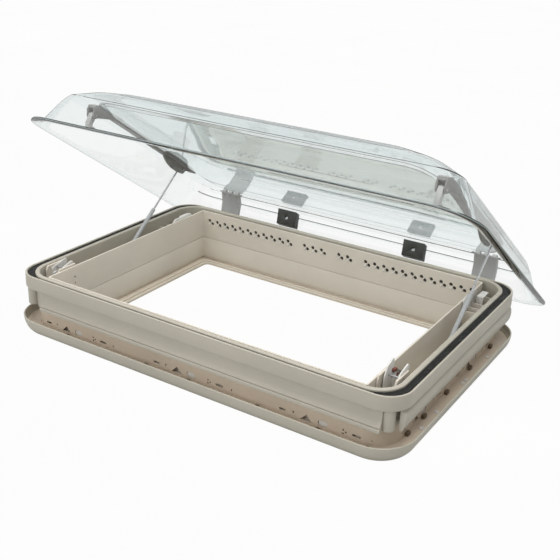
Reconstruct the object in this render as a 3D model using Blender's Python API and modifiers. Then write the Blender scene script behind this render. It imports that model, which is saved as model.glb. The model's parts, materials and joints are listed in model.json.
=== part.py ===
"""Roof hatch: a clear double-pane lid, hinged at the back of a beige two-part frame.

The lid stands open on two telescopic stays. Units are metres.
Shapes are written in the rim frame: X along the hinge, Y towards the hinge side, Z up from the
rim's top face. Lid shapes are written where they lie when the lid is closed, and the lid's
empty turns them to the open rest pose.
"""
import math

import bmesh
import bpy

# Driving dimensions ---------------------------------------------------------
RIM_X, RIM_Y, RIM_R = 0.3825, 0.248, 0.044       # half sizes and corner radius of the outer rim
RIM_HEIGHT = 0.115                               # rim top above the underside of the ceiling frame
CENTRE_SHIFT = -0.0280                           # puts the middle of the whole box at Y = 0
GAP = 0.0003                                     # clearance between neighbouring pieces
WALL = 0.003                                     # moulded wall thickness
TUCK = 0.0018                                    # joined solids reach this far into each other

RIM_WALL = 0.004
RIM_BOTTOM = -0.025
GUTTER_TOP, GUTTER_BOTTOM = -0.013, -0.017
COAMING_X, COAMING_Y, COAMING_R = 0.366, 0.2415, 0.048
COAMING_WALL = 0.008
SEAL_TOP = -0.001
BAND_X = 0.379                                   # half width over the side bands
BAND_BOTTOM = -0.062
BAND_RECESS = 0.003
BAND_END = 0.026                                 # each band stops this far short of the corner
POST_X, POST_Y, POST_R = 0.3575, 0.2285, 0.0105  # round posts inside the corners between the bands

LINER_X, LINER_Y = 0.317, 0.2262                 # inner faces of the walls round the opening
LINER_TOP, LINER_BOTTOM = -0.001, -0.0613
CHANNEL_FLOOR = -0.0545                          # top of the floor of each side channel
CHANNEL_X = 0.339                                # middle of a side channel
VENT_HIGH, VENT_LOW, VENT_R = -0.0205, -0.0262, 0.0032   # two rows of vent holes, in slanted pairs
VENT_PITCH, VENT_SLANT = 0.0200, 0.0074

CEILING_X, CEILING_Y, CEILING_R = 0.392, 0.262, 0.064
CEILING_WALL_TOP = -0.081
WEB_TOP, WEB_BOTTOM = -0.0965, -0.0990           # strip between the tray's wall and its tower
TRAY_BASE = -0.1135                              # walls that stand in the tray start inside its floor
TOWER_X, TOWER_Y, TOWER_R = 0.3625, 0.2350, 0.0445   # middle of the tray's upright wall
HOLES_Z, HOLES_PITCH = -0.0870, 0.2494           # groups of holes in the tray's upright wall
OPENING_X, OPENING_Y = 0.296, 0.209              # clear opening through the bottom lip

HINGE_Y, HINGE_Z = 0.275, -0.050                 # lid hinge axis
LID_ANGLE = math.radians(33.7)
LID_X, LID_FRONT, LID_BACK, LID_R = 0.429, -0.280, 0.316, 0.076
FLANGE_Z = -0.037                                # underside of the closed lid's flange
PANE, INNER_PANE = 0.003, 0.0022
INNER_TOP = FLANGE_Z + 0.0648                    # upper face of the inner pane
ARM_X, ARM_WIDTH = 0.296, 0.046
KNUCKLE_Y, KNUCKLE_Z = 0.2535, 0.0245
HINGE_PIN_R, BARREL_R = 0.003, 0.0065

STAY_X = 0.345
STAY_Y, STAY_Z = 0.004, -0.040                   # lower pivot of each stay
EYE_Y, EYE_Z = 0.110, 0.0190                     # upper pivot, on the closed lid
TUBE_LENGTH, TUBE_R, ROD_R = 0.115, 0.004, 0.0019
ROD_OVERLAP = 0.0085                             # rod inside the tube when the lid is open

HOOK_X = 0.339
HOOK_Y, HOOK_Z = -0.188, 0.012                   # latch hook's pivot, on the closed lid
STRIKER_Y, STRIKER_Z = -0.178, -0.004

RAIL_X = (0.3300, 0.3480)                        # grey rail along the inner pane's side edge
LUG_X = (0.3335, 0.3385)                         # its lug for the stay

SCREW_Y = (-0.105, 0.055, 0.180)                 # frame screws along each side channel
SCREW_HOLE_R, PIVOT_HOLE_R = 0.0024, 0.0020
SIDES = (("left", -1), ("right", 1))
ROUND = 16

BEIGE = ("beige_plastic", (0.62, 0.57, 0.50, 1.0), 0.45, 0.0)
GREY = ("grey_plastic", (0.30, 0.31, 0.32, 1.0), 0.45, 0.0)
BLACK = ("black_rubber", (0.03, 0.03, 0.03, 1.0), 0.70, 0.0)
STEEL = ("bright_steel", (0.65, 0.65, 0.66, 1.0), 0.30, 1.0)
CLEAR = ("clear_acrylic", (0.80, 0.90, 0.88, 0.4), 0.05, 0.0)
WHITE = ("white_plastic", (0.80, 0.80, 0.78, 1.0), 0.40, 0.0)

for old in list(bpy.data.objects):
    bpy.data.objects.remove(old, do_unlink=True)

PARTS = bpy.data.collections.new("roof_hatch")
CUTTERS = bpy.data.collections.new("cutters")
for collection in (PARTS, CUTTERS):
    bpy.context.scene.collection.children.link(collection)


# Helpers --------------------------------------------------------------------
def empty(name, location, parent=None, tilt=0.0):
    """An axis to hang pieces on; tilt turns it about X."""
    axis = bpy.data.objects.new(name, None)
    axis.location = location
    axis.rotation_euler[0] = tilt
    axis.parent = parent
    PARTS.objects.link(axis)
    return axis


RIM_FRAME = empty("rim_frame", (0.0, CENTRE_SHIFT, RIM_HEIGHT))
LID_AXIS = empty("lid_axis", (0.0, HINGE_Y, HINGE_Z), RIM_FRAME, -LID_ANGLE)
FRAME = (RIM_FRAME, (0.0, 0.0, 0.0))
LID = (LID_AXIS, (0.0, -HINGE_Y, -HINGE_Z))


def material_for(look):
    name, colour, roughness, metallic = look
    material = bpy.data.materials.new(name)
    material.use_nodes = True
    shader = material.node_tree.nodes["Principled BSDF"]
    shader.inputs["Base Color"].default_value = colour
    shader.inputs["Roughness"].default_value = roughness
    shader.inputs["Metallic"].default_value = metallic
    material.diffuse_color = colour
    return material


def place(piece, holder, look=None):
    """Hang a piece on its holder; without a look it is a tool for a Boolean."""
    parent, offset = holder
    piece.parent = parent
    piece.location = offset
    if look is None:
        CUTTERS.objects.link(piece)
        piece.hide_render = True
        piece.display_type = "WIRE"
    else:
        PARTS.objects.link(piece)
        piece.data.materials.append(material_for((piece.name + "_" + look[0],) + look[1:]))
    return piece


def object_from_bmesh(name, mesh_data, smooth=False):
    bmesh.ops.remove_doubles(mesh_data, verts=mesh_data.verts, dist=0.00001)
    bmesh.ops.recalc_face_normals(mesh_data, faces=mesh_data.faces)
    mesh = bpy.data.meshes.new(name)
    mesh_data.to_mesh(mesh)
    mesh_data.free()
    if smooth:
        mesh.shade_smooth()
        mesh.set_sharp_from_angle(angle=math.radians(35))
    return bpy.data.objects.new(name, mesh)


def boxes(name, spans):
    """One mesh of blocks that don't touch; a span is (low x, high x), (low y, high y), (low z, high z)."""
    mesh_data = bmesh.new()
    for (x0, x1), (y0, y1), (z0, z1) in spans:
        made = bmesh.ops.create_cube(mesh_data, size=1.0)["verts"]
        bmesh.ops.scale(mesh_data, vec=(abs(x1 - x0), y1 - y0, z1 - z0), verts=made)
        bmesh.ops.translate(mesh_data, vec=((x0 + x1) / 2, (y0 + y1) / 2, (z0 + z1) / 2), verts=made)
    return object_from_bmesh(name, mesh_data)


def rods(name, runs, sides=ROUND):
    """One mesh of cylinders; a run is (centre, axis letter, radius, length)."""
    mesh_data = bmesh.new()
    for centre, axis, radius, length in runs:
        made = bmesh.ops.create_cone(mesh_data, cap_ends=True, segments=sides, radius1=radius,
                                     radius2=radius, depth=length)["verts"]
        for vertex in made:
            x, y, z = vertex.co
            turned = {"X": (z, x, y), "Y": (y, z, x), "Z": (x, y, z)}[axis]
            vertex.co = [turned[i] + centre[i] for i in range(3)]
    return object_from_bmesh(name, mesh_data, smooth=True)


def flat_curve(name, outlines):
    curve = bpy.data.curves.new(name, "CURVE")
    curve.dimensions = "2D"
    for points in outlines:
        spline = curve.splines.new("POLY")
        spline.points.add(len(points) - 1)
        for point, (x, y) in zip(spline.points, points):
            point.co = (x, y, 0.0, 1.0)
        spline.use_cyclic_u = True
    return curve


def mesh_from_curve(name, curve, smooth=False):
    """The curve's solid as a welded mesh, with the curve itself removed."""
    source = bpy.data.objects.new(name + "_curve", curve)
    CUTTERS.objects.link(source)
    depsgraph = bpy.context.evaluated_depsgraph_get()
    depsgraph.update()
    mesh = bpy.data.meshes.new_from_object(source.evaluated_get(depsgraph))
    mesh_data = bmesh.new()
    mesh_data.from_mesh(mesh)
    bpy.data.objects.remove(source, do_unlink=True)
    bpy.data.meshes.remove(mesh)
    return object_from_bmesh(name, mesh_data, smooth)


def plate(name, outlines, z_low, z_high):
    """Flat outline in X and Y, between two heights; a second outline is its hole."""
    curve = flat_curve(name, outlines)
    curve.fill_mode = "BOTH"
    curve.extrude = (z_high - z_low) / 2
    made = mesh_from_curve(name, curve, smooth=True)
    for vertex in made.data.vertices:
        vertex.co.z += (z_high + z_low) / 2
    return made


def side_plate(name, outlines, x_low, x_high):
    """Flat outline in Y and Z, between two places along X."""
    made = plate(name, outlines, min(x_low, x_high), max(x_low, x_high))
    for vertex in made.data.vertices:
        y, z, x = vertex.co
        vertex.co = (x, y, z)
    return made


def swept_ring(name, profile, half_x, half_y, radius):
    """Profile of (distance in from the outline, height), swept round a rounded rectangle."""
    path = flat_curve(name, [rounded(half_x, half_y, radius)])
    section = flat_curve(name + "_section", [[(inset, height) for inset, height in profile]])
    guide = bpy.data.objects.new(name + "_section", section)
    CUTTERS.objects.link(guide)
    path.bevel_mode = "OBJECT"
    path.bevel_object = guide
    made = mesh_from_curve(name, path, smooth=True)
    bpy.data.objects.remove(guide, do_unlink=True)
    return made


def arc(centre, radius, start, end, steps=8):
    """Points on a circle from one angle to another, in degrees."""
    points = []
    for i in range(steps + 1):
        angle = math.radians(start + (end - start) * i / steps)
        points.append((centre[0] + radius * math.cos(angle), centre[1] + radius * math.sin(angle)))
    return points


def rounded(half_x, half_y, radius, middle_y=0.0, steps=6):
    """Rounded rectangle, counter-clockwise."""
    points = []
    for x_side, y_side, start in ((1, 1, 0), (-1, 1, 90), (-1, -1, 180), (1, -1, 270)):
        centre = (x_side * (half_x - radius), middle_y + y_side * (half_y - radius))
        points += arc(centre, radius, start, start + 90, steps)
    return points


def rectangle(x0, x1, y0, y1):
    return [(x0, y0), (x1, y0), (x1, y1), (x0, y1)]


def hull(first, first_r, second, second_r):
    """Outline of a link: two round ends joined by straight sides."""
    angle = math.degrees(math.atan2(second[1] - first[1], second[0] - first[0]))
    points = arc(second, second_r, angle - 90, angle + 90)
    return points + arc(first, first_r, angle + 90, angle + 270)


def boolean(piece, tools, operation, holder):
    for tool in tools:
        place(tool, holder)
        step = piece.modifiers.new(tool.name, "BOOLEAN")
        step.operation = operation
        step.object = tool
        step.solver = "EXACT"
    return piece


def unite(piece, tools, holder=FRAME):
    return boolean(piece, tools, "UNION", holder)


def cut(piece, tools, holder=FRAME):
    return boolean(piece, tools, "DIFFERENCE", holder)


# Frame ----------------------------------------------------------------------
def vent_places():
    """Middles of the vent holes: slanted pairs in four groups along the back wall."""
    places = []
    for count, start in ((11, -0.3005), (3, -0.0608), (2, 0.0194), (12, 0.0797)):
        for i in range(count):
            across = start + i * VENT_PITCH
            places += [(across, VENT_HIGH), (across + VENT_SLANT, VENT_LOW)]
    return places[:-1]


def band_outline(outer, inner):
    """Section of the lower band: a shallow cove over a lip, as (distance out, height)."""
    top, bottom, lip = GUTTER_BOTTOM + 0.001, BAND_BOTTOM + GAP, outer + 0.0005
    return [(inner, top), (outer - BAND_RECESS, top), (outer - BAND_RECESS, -0.040), (outer - 0.002, -0.050),
            (lip, -0.057), (lip, bottom), (inner, bottom)]


def build_outer_frame():
    rim = plate("outer_frame", [rounded(RIM_X, RIM_Y, RIM_R),
                                rounded(RIM_X - RIM_WALL, RIM_Y - RIM_WALL, RIM_R - RIM_WALL)],
                RIM_BOTTOM, 0.0)
    floor = plate("gutter_floor", [rounded(RIM_X - TUCK, RIM_Y - TUCK, RIM_R - TUCK),
                                   rounded(COAMING_X - TUCK, COAMING_Y - TUCK, COAMING_R - TUCK)],
                  GUTTER_BOTTOM, GUTTER_TOP)
    coaming = plate("coaming", [rounded(COAMING_X, COAMING_Y, COAMING_R),
                                rounded(COAMING_X - COAMING_WALL, COAMING_Y - COAMING_WALL,
                                        COAMING_R - COAMING_WALL)],
                    BAND_BOTTOM, 0.002)
    foot_x, foot_top = (LINER_X + 0.0055, COAMING_X - 0.004), CHANNEL_FLOOR - WALL - 0.001
    feet = boxes("coaming_feet", [((x_side * foot_x[0], x_side * foot_x[1]), (-0.189, 0.189),
                                   (BAND_BOTTOM + 0.0004, foot_top)) for x_side in (-1, 1)])
    tools = [floor, coaming, feet]
    band_x, band_y = BAND_X - BAND_END, RIM_Y - BAND_END
    for name, y_side in (("front", -1), ("back", 1)):
        outline = [(y_side * out, z) for out, z in band_outline(RIM_Y, COAMING_Y - 0.003)]
        tools.append(side_plate("band_" + name, [outline], -band_x, band_x))
    for name, x_side in SIDES:
        outline = [(x_side * out, z) for out, z in band_outline(BAND_X, BAND_X - 0.0075)]
        band = side_plate("band_" + name, [outline], -band_y, band_y)
        for vertex in band.data.vertices:
            along, across, z = vertex.co
            vertex.co = (across, -along, z)
        tools.append(band)
        web_x = (x_side * (COAMING_X - 0.003), x_side * (BAND_X - 0.006))
        tools.append(boxes("webs_" + name, [(web_x, (y - WALL / 2, y + WALL / 2),
                                             (BAND_BOTTOM + 0.002, GUTTER_BOTTOM + 0.001))
                                            for y in (-0.200, -0.100, 0.0, 0.100, 0.200)]))
    post_z, post_length = (GUTTER_BOTTOM + BAND_BOTTOM) / 2 + 0.0012, GUTTER_BOTTOM - BAND_BOTTOM
    tools.append(rods("corner_posts", [((x_side * POST_X, y_side * POST_Y, post_z), "Z", POST_R, post_length)
                                       for x_side in (-1, 1) for y_side in (-1, 1)]))
    unite(rim, tools)
    slot_y, slot_z = (0.225, 0.2445), (-0.0305, -0.0180)
    slots = [(span, slot_y, slot_z)
             for span in ((-0.307, -0.087), (-0.067, -0.007), (0.013, 0.053), (0.073, 0.306))]
    cut(rim, [boxes("vent_slots", slots),
              rods("coaming_screw_holes", screw_runs(BAND_BOTTOM, SCREW_HOLE_R, 0.020), 8)])
    place(rim, FRAME, BEIGE)


def screw_runs(middle_z, radius, length):
    """Upright cylinders at the six frame screws."""
    return [((x_side * CHANNEL_X, y, middle_z), "Z", radius, length) for x_side in (-1, 1) for y in SCREW_Y]


def build_inner_liner():
    tube = plate("inner_liner", [
        rectangle(-LINER_X - WALL, LINER_X + WALL, -LINER_Y - WALL, LINER_Y + WALL),
        rectangle(-LINER_X, LINER_X, -LINER_Y, LINER_Y)], LINER_BOTTOM, LINER_TOP)
    inset = COAMING_WALL + GAP
    floor = plate("channel_floor", [
        rounded(COAMING_X - inset, COAMING_Y - inset, COAMING_R - inset),
        rectangle(-LINER_X - 0.001, LINER_X + 0.001, -LINER_Y - 0.001, LINER_Y + 0.001)],
        CHANNEL_FLOOR - WALL, CHANNEL_FLOOR)
    unite(tube, [floor])
    vents = [((x, LINER_Y, z), "Y", VENT_R, 0.012) for x, z in vent_places()]
    pin_holes = [((-LINER_X, -0.165, z), "X", PIVOT_HOLE_R, 0.012) for z in (-0.022, -0.034)]
    cut(tube, [rods("vent_holes", vents, 6), rods("wall_pin_holes", pin_holes, 10),
               rods("floor_screw_holes", screw_runs(CHANNEL_FLOOR, SCREW_HOLE_R, 0.020), 8)])
    place(tube, FRAME, BEIGE)


def ceiling_shell_profile():
    """Outer wall of the tray: a curved section of even thickness, as (inset, height)."""
    outer = [(0.0, CEILING_WALL_TOP), (0.0008, -0.090), (0.0045, -0.101), (0.011, -0.109),
             (0.020, -0.1134), (0.030, -0.1140)]
    inner = [(0.030, -0.1125), (0.0205, -0.1110), (0.0126, -0.1065), (0.0070, -0.0995),
             (0.0034, -0.0895), (0.0026, CEILING_WALL_TOP)]
    return outer + inner


def hole_group(along):
    """Outlines of one group of holes in the tray's upright wall, as (distance along, height).

    The last one drains the space under the strip.
    """
    outlines = [hull((along - 0.0030, HOLES_Z), 0.0042, (along + 0.0030, HOLES_Z), 0.0042)]
    for start, end in ((-0.0785, -0.0655), (0.050, 0.065)):
        outlines.append(rectangle(along + start, along + end, HOLES_Z - 0.0016, HOLES_Z + 0.0016))
    outlines.append([(along - 0.038, HOLES_Z - 0.0045), (along - 0.018, HOLES_Z - 0.0045),
                     (along - 0.028, HOLES_Z + 0.0045)])
    for shift in (0.035, 0.0815):
        outlines.append(arc((along + shift, HOLES_Z), 0.0016, 0, 315, 7))
    outlines.append(rectangle(along - 0.006, along + 0.006, -0.109, -0.103))
    return outlines


def tower_cutters():
    """Blocks through the tray's upright wall: a group of holes every so often along each side."""
    long_runs = [outline for i in range(3) for outline in hole_group(-0.2434 + HOLES_PITCH * i)]
    short_runs = [outline for i in range(2) for outline in hole_group(-0.1100 + 0.2100 * i)]
    reach = WALL / 2 + 0.002
    tools = []
    for name, side in (("front", -1), ("back", 1)):
        tool = side_plate("tower_holes_" + name, long_runs, side * TOWER_Y - reach, side * TOWER_Y + reach)
        for vertex in tool.data.vertices:
            across, along, z = vertex.co
            vertex.co = (-along, across, z)
        tools.append(tool)
    for name, side in SIDES:
        tools.append(side_plate("tower_holes_" + name, short_runs, side * TOWER_X - reach,
                                side * TOWER_X + reach))
    return tools


def build_ceiling_frame():
    shell = swept_ring("ceiling_frame", ceiling_shell_profile(), CEILING_X, CEILING_Y, CEILING_R)
    floor_in = 0.025
    floor = plate("tray_floor", [rounded(CEILING_X - floor_in, CEILING_Y - floor_in, CEILING_R - floor_in),
                                 rounded(OPENING_X, OPENING_Y, 0.010, steps=3)],
                  -RIM_HEIGHT, TRAY_BASE + 0.0016)
    bead = plate("lip_bead", [rounded(OPENING_X + WALL, OPENING_Y + WALL, 0.013, steps=3),
                              rounded(OPENING_X + 0.0001, OPENING_Y + 0.0001, 0.010, steps=3)],
                 TRAY_BASE, -0.1095)
    out = WALL / 2
    tower = plate("tower", [rounded(TOWER_X + out, TOWER_Y + out, TOWER_R + out),
                            rounded(TOWER_X - out, TOWER_Y - out, TOWER_R - out)],
                  TRAY_BASE, BAND_BOTTOM - GAP)
    wall = plate("lower_liner", [
        rectangle(-LINER_X - WALL, LINER_X + WALL, -LINER_Y - WALL, LINER_Y + WALL),
        rectangle(-LINER_X, LINER_X, -LINER_Y, LINER_Y)], -0.1055, LINER_BOTTOM - GAP)
    base = plate("liner_base", [
        rectangle(-LINER_X - 0.006, LINER_X + 0.006, -LINER_Y - 0.006, LINER_Y + 0.006),
        rectangle(-LINER_X - 0.0025, LINER_X + 0.0025, -LINER_Y - 0.0025, LINER_Y + 0.0025)],
        TRAY_BASE, -0.0985)
    web_in = 0.0052
    web = plate("tray_web", [rounded(CEILING_X - web_in, CEILING_Y - web_in, CEILING_R - web_in),
                             rounded(TOWER_X, TOWER_Y, TOWER_R)], WEB_BOTTOM, WEB_TOP)
    boss_top = BAND_BOTTOM - 2 * GAP
    bosses = screw_runs((boss_top + TRAY_BASE) / 2, 0.0065, boss_top - TRAY_BASE)
    unite(shell, [floor, bead, tower, wall, base, web, rods("screw_bosses", bosses, 12)])
    cut(shell, tower_cutters() + [
        rods("head_recesses", screw_runs(-0.108, 0.0048, 0.024), 10),
        rods("boss_holes", screw_runs(-0.080, SCREW_HOLE_R, 0.060), 8)])
    place(shell, FRAME, BEIGE)


def build_rim_seal():
    outer_in = RIM_WALL + GAP
    seal = plate("rim_seal", [
        rounded(RIM_X - outer_in, RIM_Y - outer_in, RIM_R - outer_in),
        rounded(COAMING_X + GAP, COAMING_Y + GAP, COAMING_R + GAP)], GUTTER_TOP + GAP, SEAL_TOP)
    place(seal, FRAME, BLACK)


def build_frame_screws():
    number = 0
    for x_side in (-1, 1):
        for y in SCREW_Y:
            number += 1
            x = x_side * CHANNEL_X
            screw = rods("frame_screw_%d" % number, [((x, y, -0.0990), "Z", 0.0036, 0.0030)], 12)
            shaft = rods("frame_screw_shaft_%d" % number, [((x, y, -0.0765), "Z", 0.0020, 0.0430)], 10)
            unite(screw, [shaft])
            place(screw, FRAME, STEEL)


# Lid hinge ------------------------------------------------------------------
def build_hinge_base(side, x_side):
    """Bracket on the back of the frame, with two ears round the hinge pin."""
    x = x_side * ARM_X
    ear_in, ear_out = ARM_WIDTH / 2 + GAP, ARM_WIDTH / 2 + 0.008
    face = RIM_Y + 0.0005 + GAP
    base = boxes("hinge_base_" + side, [((x - ear_out, x + ear_out), (face, face + 0.004),
                                         (-0.061, -0.030))])
    ears = []
    ear = [(face + 0.001, -0.060), (face + 0.001, -0.032), (HINGE_Y - 0.010, -0.036)]
    ear += arc((HINGE_Y, HINGE_Z), 0.0075, 70, -90)
    ear += [(HINGE_Y - 0.008, -0.060)]
    for name, x0, x1 in (("near", x - ear_out, x - ear_in), ("far", x + ear_in, x + ear_out)):
        ears.append(side_plate("ear_%s_%s" % (name, side), [ear], x0, x1))
    unite(base, ears)
    hole = rods("hinge_base_hole_" + side,
                [((x, HINGE_Y, HINGE_Z), "X", HINGE_PIN_R + GAP, 2 * ear_out + 0.01)])
    cut(base, [hole])
    place(base, FRAME, GREY)
    pin = rods("hinge_pin_" + side, [((x, HINGE_Y, HINGE_Z), "X", HINGE_PIN_R, 2 * ear_out + 0.002)])
    place(pin, FRAME, STEEL)


def build_hinge_arm(side, x_side):
    """Grey arm from the hinge barrel up to the lid's shoulder."""
    x = x_side * ARM_X
    half = ARM_WIDTH / 2
    back = [(HINGE_Y + 0.0045, HINGE_Z), (0.2815, -0.020), (0.2725, 0.010),
            (KNUCKLE_Y + 0.0045, KNUCKLE_Z)]
    front = [(KNUCKLE_Y - 0.0035, KNUCKLE_Z - 0.001), (0.2660, 0.004), (0.2765, -0.022),
             (HINGE_Y - 0.002, HINGE_Z)]
    arm = side_plate("hinge_arm_" + side, [back + front], x - half, x + half)
    barrel = rods("arm_barrel_" + side, [((x, HINGE_Y, HINGE_Z), "X", BARREL_R, ARM_WIDTH)])
    teeth = []
    for i in range(3):
        middle = x + (i - 1) * 0.0165
        teeth.append(((middle, KNUCKLE_Y, KNUCKLE_Z), "X", 0.0050, 0.009))
    unite(arm, [barrel, rods("arm_knuckles_" + side, teeth)], LID)
    bore_length = ARM_WIDTH + 0.02
    bore = rods("arm_bore_" + side, [((x, HINGE_Y, HINGE_Z), "X", HINGE_PIN_R + GAP, bore_length)])
    pin_bore = rods("arm_pin_bore_" + side, [((x, KNUCKLE_Y, KNUCKLE_Z), "X", 0.0022, bore_length)], 12)
    cut(arm, [bore, pin_bore], LID)
    place(arm, LID, GREY)
    pin_length = ARM_WIDTH + 0.012
    pin = rods("knuckle_pin_" + side, [((x, KNUCKLE_Y, KNUCKLE_Z), "X", 0.0018, pin_length)], 12)
    place(pin, LID, STEEL)


def build_rear_block(side, x_side):
    """Black block on the inside of the lid's back wall, held by one screw."""
    x = x_side * 0.148
    low, high = -0.012, 0.018
    lean = 0.0130
    back, depth = 0.2850, 0.0160
    outline = [(back - depth, low), (back, low), (back - lean, high), (back - lean - depth, high)]
    block = side_plate("rear_block_" + side, [outline], x - 0.0225, x + 0.0225)
    screw_z = (low + high) / 2
    hole = rods("rear_block_hole_" + side, [((x, 0.275, screw_z), "Y", 0.0023, 0.05)], 12)
    recess = rods("rear_block_recess_" + side, [((x, 0.2600, screw_z), "Y", 0.0042, 0.0160)])
    cut(block, [hole, recess], LID)
    place(block, LID, BLACK)
    screw = rods("block_screw_" + side, [((x, 0.2655, screw_z), "Y", 0.0036, 0.0035)])
    shaft = rods("block_screw_shaft_" + side, [((x, 0.2715, screw_z), "Y", 0.0019, 0.012)], 10)
    unite(screw, [shaft], LID)
    place(screw, LID, STEEL)


# Lid ------------------------------------------------------------------------
def lofted_shell(name, rings, thickness, steps):
    """Open surface through stacked rounded rectangles, closed by its last ring, then thickened inwards.

    A ring is (half x, half y, middle y, corner radius, height), from the rim to the middle.
    """
    mesh_data = bmesh.new()
    loops = []
    for half_x, half_y, middle_y, radius, height in rings:
        loop = [mesh_data.verts.new((x, y, height))
                for x, y in rounded(half_x, half_y, radius, middle_y, steps)]
        loops.append(loop)
    for lower, upper in zip(loops, loops[1:]):
        for i in range(len(lower)):
            j = (i + 1) % len(lower)
            mesh_data.faces.new((lower[i], lower[j], upper[j], upper[i]))
    mesh_data.faces.new(loops[-1])
    mesh = bpy.data.meshes.new(name)
    mesh_data.to_mesh(mesh)
    mesh_data.free()
    mesh.shade_smooth()
    shell = bpy.data.objects.new(name, mesh)
    solid = shell.modifiers.new("thickness", "SOLIDIFY")
    solid.thickness = thickness
    solid.offset = -1.0
    solid.use_even_offset = True
    return shell


def dome_rings():
    """The outer pane's sections: flange, sloping wall, tight shoulder and domed top.

    A section is (height, inset at the sides, inset at the front, inset at the back).
    """
    sections = ((0.003, 0.000, 0.000, 0.000), (0.003, 0.015, 0.015, 0.015),
                (0.006, 0.0175, 0.0175, 0.0175), (0.041, 0.0375, 0.0265, 0.0300),
                (0.054, 0.0450, 0.0315, 0.0385), (0.0645, 0.0520, 0.0375, 0.0480),
                (0.0705, 0.0590, 0.0415, 0.0525), (0.0850, 0.0950, 0.0590, 0.0700),
                (0.0965, 0.1450, 0.0790, 0.0900), (0.1035, 0.1950, 0.1070, 0.1170),
                (0.1075, 0.2450, 0.1550, 0.1600), (0.1100, 0.3000, 0.2250, 0.2250))
    rings = []
    for height, side, front, back in sections:
        low, high = LID_FRONT + front, LID_BACK - back
        radius = min(max(LID_R - 0.75 * side, 0.034), 0.45 * (high - low), 0.8 * (LID_X - side))
        rings.append((LID_X - side, (high - low) / 2, (high + low) / 2, radius, FLANGE_Z + height))
    return rings


def build_lid():
    outer = lofted_shell("lid_outer_pane", dome_rings(), PANE, 6)
    place(outer, LID, CLEAR)
    middle, half_y = 0.01165, 0.23265
    rings = ((0.3265, half_y, middle, 0.046, INNER_TOP + 0.0020),
             (0.3250, half_y - 0.0015, middle, 0.045, INNER_TOP + 0.0007),
             (0.3220, half_y - 0.0045, middle, 0.042, INNER_TOP),
             (0.2240, half_y - 0.1025, middle, 0.042, INNER_TOP))
    inner = lofted_shell("lid_inner_pane", rings, INNER_PANE, 5)
    place(inner, LID, CLEAR)


def build_side_bracket(side, x_side):
    """Long grey rail along the inner pane's side edge: a forked nose for the latch, a lug for the stay."""
    top, low = 0.0360, 0.0245
    rail = [(-0.198, 0.0190)] + arc((HOOK_Y, HOOK_Z), 0.0062, 180, 330, 5)
    rail += [(-0.150, low - 0.004), (-0.136, low), (0.150, low + 0.001), (0.154, low + 0.004),
             (0.140, top - 0.003), (0.118, top), (0.030, top), (0.020, top - 0.002), (-0.110, top - 0.002),
             (-0.120, top + 0.001), (-0.184, top - 0.002), (-0.197, top - 0.008)]
    bracket = side_plate("side_bracket_" + side, [rail], x_side * RAIL_X[0], x_side * RAIL_X[1])
    lug = [(0.034, low + 0.002), (0.040, 0.0195), (0.056, 0.0130), (0.074, 0.0090), (0.096, 0.0090)]
    lug += arc((EYE_Y, EYE_Z), 0.0085, -75, 0, 4)
    lug += [(0.132, low), (0.146, low + 0.002)]
    lug_plate = side_plate("stay_lug_" + side, [lug], x_side * LUG_X[0], x_side * LUG_X[1])
    unite(bracket, [lug_plate], LID)
    fork = boxes("latch_fork_" + side, [((x_side * 0.3332, x_side * 0.3448), (-0.212, -0.166),
                                         (HOOK_Z - 0.02, HOOK_Z + 0.0105))])
    pin_bore = rods("latch_pin_bore_" + side, [((x_side * HOOK_X, HOOK_Y, HOOK_Z), "X", PIVOT_HOLE_R, 0.04)],
                    12)
    lug_middle = x_side * sum(LUG_X) / 2
    lug_bores = rods("stay_lug_bores_" + side, [
        ((lug_middle, EYE_Y, EYE_Z), "X", PIVOT_HOLE_R, 0.007),
        ((lug_middle, 0.0755, 0.0165), "X", 0.0016, 0.007)], 12)
    cut(bracket, [fork, pin_bore, lug_bores], LID)
    place(bracket, LID, GREY)
    pin = rods("latch_pin_" + side, [((x_side * HOOK_X, HOOK_Y, HOOK_Z), "X", 0.0017, 0.0195)], 12)
    place(pin, LID, STEEL)
    stud = rods("stay_stud_" + side, [((x_side * (LUG_X[0] + 0.0035), EYE_Y, EYE_Z), "X", 0.0017, 0.0110)],
                12)
    place(stud, LID, STEEL)


def build_latch_hook(side, x_side):
    """Hook that hangs from the bracket's nose and catches under the striker bar."""
    axis = empty("latch_axis_" + side, (0.0, HOOK_Y - HINGE_Y, HOOK_Z - HINGE_Z), LID_AXIS)
    holder = (axis, (0.0, -HOOK_Y, -HOOK_Z))
    shank = [(HOOK_Y - 0.0055, HOOK_Z), (HOOK_Y - 0.0060, -0.007), (HOOK_Y - 0.001, -0.0145),
             (STRIKER_Y + 0.001, -0.0145), (STRIKER_Y + 0.006, -0.0090), (STRIKER_Y + 0.0015, -0.0070),
             (STRIKER_Y - 0.0030, -0.0075), (HOOK_Y + 0.0045, -0.0055), (HOOK_Y + 0.0055, HOOK_Z)]
    shank += arc((HOOK_Y, HOOK_Z), 0.0055, 0, 180)[1:-1]
    hook = side_plate("latch_hook_" + side, [shank], x_side * 0.3345, x_side * 0.3435)
    bore = rods("latch_bore_" + side, [((x_side * HOOK_X, HOOK_Y, HOOK_Z), "X", PIVOT_HOLE_R, 0.03)], 12)
    cut(hook, [bore], holder)
    place(hook, holder, GREY)


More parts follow.
